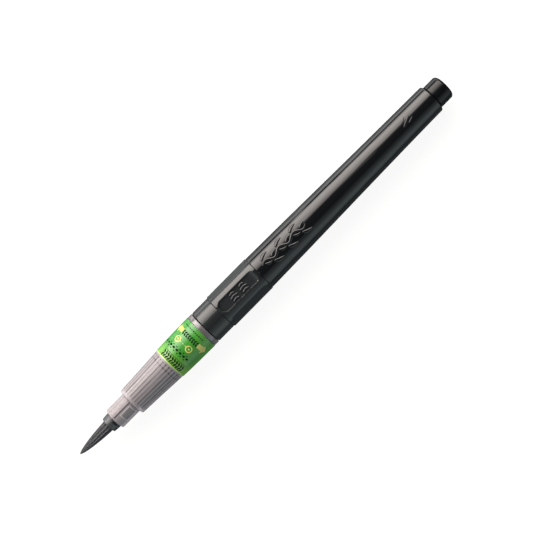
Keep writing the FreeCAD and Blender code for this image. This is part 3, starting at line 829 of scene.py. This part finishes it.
def end_ring(outer_first, bore_first, facing_tail):
    """Flat faces between the outer skin's and the bore's last circle."""
    faces = []
    steps = range(COLUMNS_PER_BORE_COLUMN + 1)
    for column in range(BORE_COLUMNS):
        start = column * COLUMNS_PER_BORE_COLUMN
        arc = [outer_first + (start + step) % OUTER_COLUMNS for step in steps]
        face = arc + [bore_first + (column + 1) % BORE_COLUMNS, bore_first + column]
        faces.append(face if facing_tail else face[::-1])
    return faces


def new_piece(name, points, faces, material):
    """An object at the origin whose place is in its mesh."""
    mesh = bpy.data.meshes.new(name)
    mesh.from_pydata([tuple(point) for point in points], [], faces)
    mesh.materials.append(material)
    mesh.validate()
    piece = bpy.data.objects.new(name, mesh)
    SCENE.collection.objects.link(piece)
    return piece


def outside_out(piece, smooth_below=40):
    """Points all faces outwards and smooths the shading across gentle edges."""
    shape = bmesh.new()
    shape.from_mesh(piece.data)
    bmesh.ops.recalc_face_normals(shape, faces=shape.faces)
    for face in shape.faces:
        face.smooth = True
    limit = math.radians(smooth_below)
    for edge in shape.edges:
        edge.smooth = len(edge.link_faces) == 2 and edge.calc_face_angle(0) < limit
    shape.to_mesh(piece.data)
    shape.free()
    return piece


outer_points = skin_points(outer_radii, OUTER_ROWS)
points = np.concatenate([outer_points, skin_points(bore_radii, BORE_ROWS)])
bore_start = len(outer_points)
faces = skin_faces(len(OUTER_ROWS), OUTER_COLUMNS, 0, outwards=True)
faces += skin_faces(len(BORE_ROWS), BORE_COLUMNS, bore_start, outwards=False)
faces += end_ring(0, bore_start, facing_tail=False)
faces += end_ring(bore_start - OUTER_COLUMNS, len(points) - BORE_COLUMNS, facing_tail=True)
barrel = outside_out(new_piece("barrel_moulding", points, faces, BLACK))
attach(barrel, "barrel")
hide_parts("barrel")
print("barrel faces:", len(barrel.data.polygons))

# %% [markdown]
# ## Strokes
#
# The raised ornament, the marks in the recess and the print on the label are all strokes of a
# pen: a line with a width that swells and thins. We draw them flat first, along the pen and
# round it, in millimetres. Each is a closed bead with a crowned top.

# %% Draw flat strokes
SECTION_TURNS = [math.pi * i / 6 for i in range(7)]
SECTION = [(-math.cos(turn), math.sin(turn)) for turn in SECTION_TURNS]
END_WIDTH, END_GROWTH = 0.45, 4
LEAF_END_WIDTH, LEAF_LEAN, LEAF_FULLNESS = 0.12, 0.8, 0.9
THIN_RISES = 0.3
COARSE_STEP, FINE_STEP = 0.22, 0.1


def curve_through(points, step):
    """Points every step along a smooth line through the given ones."""
    ends = [Vector(point) for point in (points[0], *points, points[-1])]
    line = []
    for a, b, c, d in zip(ends, ends[1:], ends[2:], ends[3:]):
        count = max(2, math.ceil((c - b).length / step))
        for i in range(count):
            t = i / count
            square = a * 2 - b * 5 + c * 4 - d
            cube = b * 3 - a - c * 3 + d
            line.append((b * 2 + (c - a) * t + square * t**2 + cube * t**3) / 2)
    return line + [ends[-1]]


class Drawing:
    """Collects strokes as one flat mesh: x along the pen, y round it, z up from its surface."""

    def __init__(self):
        self.points, self.faces = [], []

    def stroke(self, points, width, height, sunk, leaf=0.0, step=COARSE_STEP):
        """leaf is 0 for an even line with round ends, or 1 for one that tapers to points."""
        line = curve_through(points, step)
        first, size = len(self.points), len(SECTION)
        for i, centre in enumerate(line):
            t = i / (len(line) - 1)
            tangent = (line[min(i + 1, len(line) - 1)] - line[max(i - 1, 0)]).normalized()
            side = Vector((-tangent.y, tangent.x))
            even = min(1.0, END_WIDTH + END_GROWTH * min(t, 1 - t))
            bulge = math.sin(math.pi * t**LEAF_LEAN) ** LEAF_FULLNESS
            pointed = LEAF_END_WIDTH + (1 - LEAF_END_WIDTH) * bulge
            swell = even * (1 - leaf) + leaf * pointed
            rise = (height + sunk) * min(1, swell + THIN_RISES)
            for across, up in SECTION:
                spot = centre + side * (across * width / 2 * swell)
                self.points.append((spot.x, spot.y, up * rise - sunk))
        for i in range(len(line) - 1):
            for j in range(size):
                here, beside = first + i * size + j, first + i * size + (j + 1) % size
                self.faces.append((here, here + size, beside + size, beside))
        self.faces.append([first + j for j in range(size)])
        self.faces.append([len(self.points) - 1 - j for j in range(size)])

    def piece(self, name, material):
        flat = [(x * MM, y * MM, z * MM) for x, y, z in self.points]
        return new_piece(name, flat, self.faces, material)


print("each stroke has", len(SECTION), "points round its bead")

# %% [markdown]
# A Geometry Nodes tree then wraps the flat drawing round the pen. Moving a distance y round a
# circle of radius r is a turn by y / r. Each point carries the radius that a ray felt there,
# so that the strokes follow the taper and every curve of the surface.


# %% Tree that wraps a drawing round the pen
def new_tree(name, inputs):
    """An empty geometry tree with named inputs. Returns the tree, its graph and its wires."""
    tree = bpy.data.node_groups.new(name, "GeometryNodeTree")
    tree.interface.new_socket("Geometry", in_out="INPUT", socket_type="NodeSocketGeometry")
    for label, kind in inputs:
        tree.interface.new_socket(label, in_out="INPUT", socket_type="NodeSocket" + kind)
    tree.interface.new_socket("Geometry", in_out="OUTPUT", socket_type="NodeSocketGeometry")
    graph = Graph(tree)
    graph.node("NodeGroupInput")
    wires = {socket.name: Wire(graph, socket) for socket in graph.latest.outputs if socket.name}
    return tree, graph, wires


def end_tree(graph, geometry, material):
    """Every tree ends the same way: real geometry with its material."""
    real = graph.node("GeometryNodeRealizeInstances", inputs={0: geometry})
    dressed = graph.node("GeometryNodeSetMaterial", inputs={0: real, "Material": material})
    graph.node("NodeGroupOutput", inputs={0: dressed})


def grown(name, tree, start, values):
    """Runs a tree on an object and leaves the result in it as a plain mesh."""
    modifier = start.modifiers.new(name, "NODES")
    modifier.node_group = tree
    for item in tree.interface.items_tree:
        if item.name in values:
            modifier[item.identifier] = values[item.name]
    bpy.context.view_layer.update()
    evaluated = start.evaluated_get(bpy.context.evaluated_depsgraph_get())
    mesh = bpy.data.meshes.new_from_object(evaluated)
    start.modifiers.clear()
    old_mesh = start.data
    start.data = mesh
    start.name = name
    bpy.data.meshes.remove(old_mesh)
    print(name, "has", len(mesh.polygons), "faces")
    return start


def named(graph, name):
    """The number that each point carries under a name."""
    settings = {"data_type": "FLOAT"}
    return graph.node("GeometryNodeInputNamedAttribute", settings, {"Name": name})


def wrapping_tree():
    inputs = [("Mean Radius", "Float"), ("Axis Height", "Float"), ("Material", "Material")]
    tree, graph, wires = new_tree("wrap_round_pen", inputs)
    x, y, z = graph.node("GeometryNodeInputPosition").parts()
    turn = y / wires["Mean Radius"]
    far = named(graph, "felt_radius") + z
    spot = graph.vector(x, far * turn.sine(), wires["Axis Height"] + far * turn.cosine())
    moved = graph.node("GeometryNodeSetPosition", inputs={0: wires["Geometry"], "Position": spot})
    end_tree(graph, moved, wires["Material"])
    return tree


WRAP = wrapping_tree()


def wrapped(drawing, name, material, feeler, mean_radius):
    """Wraps a drawing round a CAD surface. Its x is the station, and its y runs round the pen
    to the far side, as it would on a cylinder of the mean radius."""
    flat = drawing.piece(name, material)
    felt = flat.data.attributes.new("felt_radius", "FLOAT", "POINT")
    for value, (along, around, _) in zip(felt.data, drawing.points):
        value.value = feeler.outer(along, -around / mean_radius)
    flat.data.transform(Matrix.Translation((TIP_X, 0, 0)))
    sizes = {"Mean Radius": mean_radius * MM, "Axis Height": AXIS_Z, "Material": material}
    return outside_out(grown(name, WRAP, flat, sizes), 50)


# %% [markdown]
# ## Ornament on the barrel
#
# A raised ornament sits behind the collar, moulded with the barrel: here it is a vine, a wave
# that runs along the pen with a pair of leaves at each crest. A crowned bead catches a thin
# line of light on its upper side, which is all that shows black on black, so most of its
# strokes run along the pen.

# %% Vine
RELIEF, RELIEF_SUNK = 0.26, 0.05
BODY_MEAN_RADIUS = 5.7
VINE_START, WAVE_LENGTH, WAVES, VINE_MIDDLE, WAVE_HEIGHT = 78.8, 5.9, 3, 0.15, 0.7
STEM_POINTS, STEM_WIDTH, STEM_LEAF = 12, 1.0, 0.3
# leaves as seen from the crest that they grow on, with their widths
OUTER_LEAF = ([(-0.9, 0.55), (0.4, 1.5), (2.3, 1.75)], 1.25)
INNER_LEAF = ([(-0.6, -0.75), (0.4, -1.45), (1.7, -1.6)], 0.9375)

vine = Drawing()
stem = []
for i in range(STEM_POINTS * WAVES + 1):
    wave = i / STEM_POINTS
    height = WAVE_HEIGHT * math.sin(2 * math.pi * wave)
    stem.append((VINE_START + WAVE_LENGTH * wave, VINE_MIDDLE + height))
vine.stroke(stem, STEM_WIDTH, RELIEF, RELIEF_SUNK, leaf=STEM_LEAF, step=FINE_STEP)
for i in range(2 * WAVES):
    crest = VINE_START + WAVE_LENGTH * (0.25 + i / 2)
    side = 1 if i % 2 == 0 else -1
    root = VINE_MIDDLE + side * WAVE_HEIGHT
    for leaf, width in (OUTER_LEAF, INNER_LEAF):
        spots = [(crest + x, root + side * y) for x, y in leaf]
        vine.stroke(spots, width, RELIEF, RELIEF_SUNK, leaf=1.0, step=FINE_STEP)
ornament = wrapped(vine, "vine_ornament", BLACK, barrel_feeler, BODY_MEAN_RADIUS)
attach(ornament, "barrel")

# %% Small leaf mark near the tail
TAIL_MEAN_RADIUS, LEAF_MARK_RISE = 4.9, 0.1
LEAF_MARK = (
    ([(137.4, -0.7), (139.2, 0.1), (141.2, 1.1)], 0.75),
    ([(137.6, 0.6), (138.6, 1.0), (139.8, 1.7)], 0.5),
    ([(139.4, -0.8), (140.4, -0.5), (141.6, 0.0)], 0.5),
)
leaf_mark = Drawing()
for spots, width in LEAF_MARK:
    leaf_mark.stroke(spots, width, LEAF_MARK_RISE, RELIEF_SUNK, leaf=1.0)
tail_mark = wrapped(leaf_mark, "leaf_mark", BLACK, barrel_feeler, TAIL_MEAN_RADIUS)
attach(tail_mark, "barrel")

# %% [markdown]
# The recess has two raised touch marks on its floor, so that the thumb finds its place: each is
# a stack of curved ridges, like ripples. The floor is flat, so these need no wrapping.

# %% Touch marks in the recess
BARE_FLOOR = 64.0
FLOOR_FEEL = barrel_feeler.outer(BARE_FLOOR, 0.0)
TOUCH_STATIONS = (66.4, 70.3)
TOUCH_WIDTH, TOUCH_RISE, TOUCH_SUNK, TOUCH_LEAF = 0.7, 0.30, 0.04, 0.5
# place across the recess and half length of each ridge, then how its ends and middle bend
RIPPLES = ((1.1, 1.0), (0.1, 1.5), (-0.95, 1.2))
ENDS_BACK, MIDDLE_OUT = 0.28, 0.1
touch = Drawing()
for along in TOUCH_STATIONS:
    for y, reach in RIPPLES:
        first, last = (along - reach, y - ENDS_BACK), (along + reach, y - ENDS_BACK)
        spots = [first, (along, y + MIDDLE_OUT), last]
        touch.stroke(spots, TOUCH_WIDTH, TOUCH_RISE, TOUCH_SUNK, TOUCH_LEAF, FINE_STEP)
marks = touch.piece("touch_marks", BLACK)
marks.data.transform(Matrix.Translation((TIP_X, 0, AXIS_Z + FLOOR_FEEL)))
outside_out(marks, 50)
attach(marks, "barrel")
print("recess floor is", round(FLOOR_FEEL / MM, 2), "mm above the axis")

# %% [markdown]
# ## Printed band
#
# The band is a glossy film round the clear grip. Its ground runs from yellow-green at the front
# to a deep leaf green, with brushed streaks along the pen. Painted light makes it lighter
# towards the near side and darker towards the far side, and a paler band along the front edge
# is a painted highlight. The ground follows a smooth rule, so it is a shader; the print on it
# has crisp edges, so it is geometry: hair-thin strokes, wrapped like the ornament. The print is
# rows of leaves and dots, two targets, and two arrows that show which way to turn.

# %% Film colour
FILM_FRONT, GLOW_LENGTH = 38.4, 5.5
# the last colour is a painted highlight along the film's front edge
LEAF_GREEN, YELLOW_GREEN, EDGE_HIGHLIGHT_GREEN = (0.026, 0.19, 0.02), (0.17, 0.36, 0.045), (0.35, 0.50, 0.16)
RIM_START, RIM_END, RIM_STRENGTH = FILM_FRONT + 0.25, FILM_FRONT + 0.45, 0.8
BRUSHING_STRETCH, BRUSHING_SCALE, PATCH_STRETCH, PATCH_SCALE = 14.0, 3600.0, 2.0, 330.0
FRONT_GLOWS, PATCHES_GLOW, BRUSHING_GLOWS, SIDE_PAINTED_LIGHT, DIMMED = 0.55, 0.55, 0.35, 0.09, 0.4
FILM_GLOSS, BRUSHING_DULLS = 0.18, 0.1


def printed_film():
    average = (0.03, 0.19, 0.015)
    made, graph, shader = new_material("printed_film", average, roughness=0.22, IOR=1.5)
    station, _, angle = round_pen(graph)
    streaks = graph.noise(along_pen(graph, BRUSHING_STRETCH), BRUSHING_SCALE, 3.0, 0.6)
    patches = graph.noise(along_pen(graph, PATCH_STRETCH), PATCH_SCALE, 2.0)
    front = 1 - graph.smooth(station, FILM_FRONT, FILM_FRONT + GLOW_LENGTH)
    glow = front * FRONT_GLOWS + patches * PATCHES_GLOW + streaks * BRUSHING_GLOWS
    # painted light: lighter towards the near side, darker towards the far side
    glow = (glow + angle * SIDE_PAINTED_LIGHT - DIMMED).at_most(1.0).at_least(0.0)
    green = graph.mix_colour(glow, LEAF_GREEN, YELLOW_GREEN)
    # painted highlight: a paler band along the film's front edge
    rim = 1 - graph.smooth(station, RIM_START, RIM_END)
    feed(graph, graph.mix_colour(rim * RIM_STRENGTH, green, EDGE_HIGHLIGHT_GREEN), shader, "Base Color")
    feed(graph, FILM_GLOSS + streaks * BRUSHING_DULLS, shader, "Roughness")
    return made


FILM = printed_film()
for material_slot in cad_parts["instruction_label"].material_slots:
    material_slot.material = FILM
print("the film's bright front is", GLOW_LENGTH, "mm long")

# %% Print on the film
PRINT_THICK, PRINT_SUNK = 0.012, 0.015
FILM_MEAN_RADIUS = 5.76
DOT_HALF_LENGTH, RING_STEP, LEAF_FILLS_GAP = 0.28, 0.3, 0.8
ARROW_ROWS, ROW_OVERLAP, HEAD_STARTS = 9, 1.25, 0.55
SHAFT_WIDTH, HEAD_WIDTH, POINT_WIDTH = 1.55, 3.3, 0.25
dark_print, pale_print = Drawing(), Drawing()


def dash(drawing, along, around, reach, width, leaf=0.0):
    """A straight printed stroke from one side of a place to the other."""
    ends = [(along - reach[0], around - reach[1]), (along + reach[0], around + reach[1])]
    drawing.stroke(ends, width, PRINT_THICK, PRINT_SUNK, leaf, FINE_STEP)


def dot(drawing, along, around, size):
    dash(drawing, along, around, (DOT_HALF_LENGTH * size, 0), size)


def ring(drawing, along, around, radius, width, sides=14):
    turns = [2 * math.pi * i / sides for i in range(sides + 1)]
    line = [(along + radius * math.cos(t), around + radius * math.sin(t)) for t in turns]
    drawing.stroke(line, width, PRINT_THICK, PRINT_SUNK, step=RING_STEP)


def arrow(along, around, length, way):
    """A block arrow that points round the pen, built of short rows."""
    for i in range(ARROW_ROWS):
        t = i / (ARROW_ROWS - 1)
        width = SHAFT_WIDTH
        if t > HEAD_STARTS:
            width = HEAD_WIDTH * (1 - t) / (1 - HEAD_STARTS)
        spot = around + way * length * (t - 0.5)
        reach = (max(width, POINT_WIDTH) / 2, 0)
        dash(pale_print, along, spot, reach, length / ARROW_ROWS * ROW_OVERLAP)


def row_of_leaves(drawing, along, first, last, gap, size, slant):
    """Pairs of leaves that lean against each other, one pair every gap round the pen."""
    for i in range(round((last - first) / gap) + 1):
        around = first + i * gap
        for side in (-1, 1):
            reach = (size / 4, side * slant * size / 4)
            width = LEAF_FILLS_GAP * gap
            dash(drawing, along + side * size / 4, around, reach, width, leaf=1.0)


def row_of_dots(drawing, along, first, last, gap, size):
    for i in range(round((last - first) / gap) + 1):
        dot(drawing, along, first + i * gap, size)


print("an arrow is", ARROW_ROWS, "rows of ink")

# %% Lay out the print
FRONT_LEAVES, DOTS, TARGETS, REAR_LEAVES, REAR_DOTS = 40.0, 43.1, 45.7, 48.4, 50.5
SIDE_DOTS, SIDE_LINES = 0.7, (38.85, 41.2)

row_of_leaves(dark_print, FRONT_LEAVES, -4.6, 3.5, gap=0.9, size=2.0, slant=0.7)
for along in SIDE_LINES:
    dash(dark_print, along, -0.5, reach=(0, 4.6), width=0.2)
row_of_dots(dark_print, DOTS, -3.4, 6.4, gap=1.4, size=1.15)
for along in (DOTS - SIDE_DOTS, DOTS + SIDE_DOTS):
    row_of_dots(dark_print, along, -2.7, 5.7, gap=1.4, size=0.6)
for around in (3.2, -1.6):
    ring(pale_print, TARGETS, around, radius=0.95, width=0.42)
    dot(pale_print, TARGETS, around, size=0.75)
row_of_dots(pale_print, TARGETS, -0.2, 1.8, gap=1.0, size=0.5)
arrow(REAR_LEAVES, 5.6, length=3.0, way=1)
arrow(REAR_LEAVES, -4.6, length=3.3, way=-1)
row_of_leaves(dark_print, REAR_LEAVES, -2.3, 3.3, gap=0.8, size=1.6, slant=-0.7)
row_of_dots(dark_print, REAR_DOTS, -2.6, 4.8, gap=0.74, size=0.62)
print("print has", len(dark_print.points) + len(pale_print.points), "points")


# %% Wrap the print
INK_FADES, INK_DULL, SPECKLE_SCALE = 0.6, 0.8, 9000.0


def print_ink(name, colour):
    made, graph, shader = new_material(name, colour, INK_DULL, Specular_IOR_Level=0.1)
    speckle = graph.noise(place(graph), SPECKLE_SCALE, 2.0)
    faded = tuple(INK_FADES * share for share in colour)
    feed(graph, graph.mix_colour(speckle, faded, colour), shader, "Base Color")
    return made


DARK_INK = print_ink("dark_print_ink", (0.004, 0.008, 0.004))
PALE_INK = print_ink("pale_print_ink", (0.60, 0.56, 0.17))
label_feeler = Feeler("instruction_label")
prints = ((dark_print, "dark_print", DARK_INK), (pale_print, "pale_print", PALE_INK))
for drawing, name, ink_and_notch_shade in prints:
    piece = wrapped(drawing, name, ink_and_notch_shade, label_feeler, FILM_MEAN_RADIUS)
    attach(piece, "front_section")

# %% [markdown]
# ## Brush
#
# The brush is hundreds of fine tapered hairs, bound at the root and drawn to a point by the
# ink. Modelled as one cone it would look like a pencil. A Geometry Nodes tree grows the hairs:
# each one starts as a straight curve, draws a turn round the axis, leans towards the nearest
# lock, and is bent so that its distance from the axis follows the brush's outline. A dark solid
# core closes the gaps between the hairs.

# %% Outline of the brush
BRUSH_ROOT, BRUSH_RADIUS = 12.9, 1.96
BLUNTNESS, BELLY = 0.58, 0.25


def outline(share):
    """Radius of the brush as a share of its greatest, at a share of its length from the tip.
    It works on numbers and on wires."""
    return share**BLUNTNESS * (1 + BELLY - BELLY * share)


print("brush radius half way:", round(BRUSH_RADIUS * outline(0.5), 2), "mm")


# %% Tree that grows the hairs
HAIR_POINTS, HAIR_SIDES = 11, 4
LEAST_DEPTH, SHORTEST_BY, NEAREST_TIP = 0.90, 0.2, 0.004
GATHER, WANDER, WANDER_TURNS = 0.75, 0.05, 5
VALLEY, RIDGE = 0.89, 0.11
# OWN_SHADE weighs each hair's random tone; the second weight is painted light on the lock ridges
OWN_SHADE, RIDGE_PAINTED_LIGHT = 0.45, 0.55
ROOT_GIRTH, TIP_THINS = 1.05, 0.75


def bristle_tree():
    inputs = [("Hairs", "Int"), ("Locks", "Float"), ("Hair Radius", "Float"), ("Seed", "Int")]
    tree, graph, wires = new_tree("bristles", inputs + [("Material", "Material")])
    points = graph.node("GeometryNodePoints", inputs={0: wires["Hairs"]})
    straight = graph.node("GeometryNodeCurvePrimitiveLine")
    resampled = {0: straight, "Count": HAIR_POINTS}
    straight = graph.node("GeometryNodeResampleCurve", inputs=resampled)
    hairs = graph.node("GeometryNodeInstanceOnPoints", inputs={0: points, 2: straight})

    def random(low, high, number):
        settings = {"data_type": "FLOAT"}
        index = graph.node("GeometryNodeInputIndex")
        inputs = {2: low, 3: high, "ID": index, "Seed": wires["Seed"] + number}
        return graph.node("FunctionNodeRandomValue", settings, inputs, out=1)

    def store(geometry, name, value, domain):
        settings = {"data_type": "FLOAT", "domain": domain}
        inputs = {0: geometry, "Name": name, "Value": value}
        return graph.node("GeometryNodeStoreNamedAttribute", settings, inputs)

    # what each hair draws for itself
    for name, value in (
        ("turn", random(0.0, 2 * math.pi, 1)),
        ("depth", random(LEAST_DEPTH, 1.0, 2)),
        ("tip", random(0.0, 1.0, 3)),
        ("wander", random(-1.0, 1.0, 4)),
        ("shade", random(0.0, 1.0, 5)),
    ):
        hairs = store(hairs, name, value, "INSTANCE")
    hairs = graph.node("GeometryNodeRealizeInstances", inputs={0: hairs})

    # locks: hairs crowd towards evenly spaced turns, whose middles stand a little higher
    along = graph.node("GeometryNodeSplineParameter")
    turn, wander = named(graph, "turn"), named(graph, "wander")
    phase = turn * wires["Locks"]
    gathered = turn - phase.sine() * GATHER / wires["Locks"]
    gathered = gathered + wander * WANDER * (along * WANDER_TURNS + turn).sine()
    ridge = (1 + phase.cosine()) / 2

    # each hair's place from its root to its tip
    tip = named(graph, "tip") ** 3 * SHORTEST_BY
    share = (1 - along * (1 - tip)).at_least(NEAREST_TIP)
    radius = BRUSH_RADIUS * MM * (VALLEY + ridge * RIDGE) * named(graph, "depth") * outline(share)
    x = TIP_X + share * (BRUSH_ROOT * MM)
    spot = graph.vector(x, radius * gathered.sine(), AXIS_Z + radius * gathered.cosine())
    bent = graph.node("GeometryNodeSetPosition", inputs={0: hairs, "Position": spot})
    # each hair's random tone, plus painted light: lock ridges lighter, valleys darker
    tone = named(graph, "shade") ** 2 * OWN_SHADE + ridge**3 * RIDGE_PAINTED_LIGHT
    bent = store(bent, "shade", tone, "POINT")

    # a thin closed tube along each hair
    circle = {"Resolution": HAIR_SIDES, "Radius": 1.0}
    girth = graph.node("GeometryNodeCurvePrimitiveCircle", inputs=circle)
    scale = wires["Hair Radius"] * (ROOT_GIRTH - along**2 * TIP_THINS)
    tube = {0: bent, 1: girth, "Fill Caps": True, "Scale": scale}
    solid = graph.node("GeometryNodeCurveToMesh", inputs=tube)
    solid = graph.node("GeometryNodeSetShadeSmooth", inputs={0: solid})
    end_tree(graph, solid, wires["Material"])
    return tree


HAIRS = {"Hairs": 480, "Locks": 11.0, "Hair Radius": 0.05 * MM, "Seed": 4, "Material": BRISTLES}
seed_mesh = bpy.data.meshes.new("hair_seed")
seed_object = bpy.data.objects.new("hair_seed", seed_mesh)
SCENE.collection.objects.link(seed_object)
bristles = grown("bristles", bristle_tree(), seed_object, HAIRS)


# %% Core of the brush
def turned(name, profile, material, columns=48):
    """A closed solid of revolution from (station, radius) pairs in millimetres."""
    stations = [station for station, _ in profile]
    radii = np.array([[radius] * columns for _, radius in profile])
    points = list(skin_points(radii, stations))
    faces = skin_faces(len(profile), columns, 0, outwards=True)
    faces.append(list(range(columns)))
    faces.append([len(points) - 1 - i for i in range(columns)])
    return outside_out(new_piece(name, points, faces, material))


CORE_WIDTH = 0.86
CORE_SHARES = (0.02, 0.05, 0.1, 0.18, 0.3, 0.45, 0.6, 0.75, 0.9, 1.0)
core_profile = [
    (share * BRUSH_ROOT, CORE_WIDTH * BRUSH_RADIUS * outline(share)) for share in CORE_SHARES
]
core = turned("brush_core", core_profile, BRISTLES)
BEND_START, BEND_END = 12.7, 9.5
for piece in (bristles, core):
    start, end = ((at(station), 0, AXIS_Z) for station in (BEND_START, BEND_END))
    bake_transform(piece)
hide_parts("brush_tuft")
print("brush bends between stations", BEND_START, "and", BEND_END)
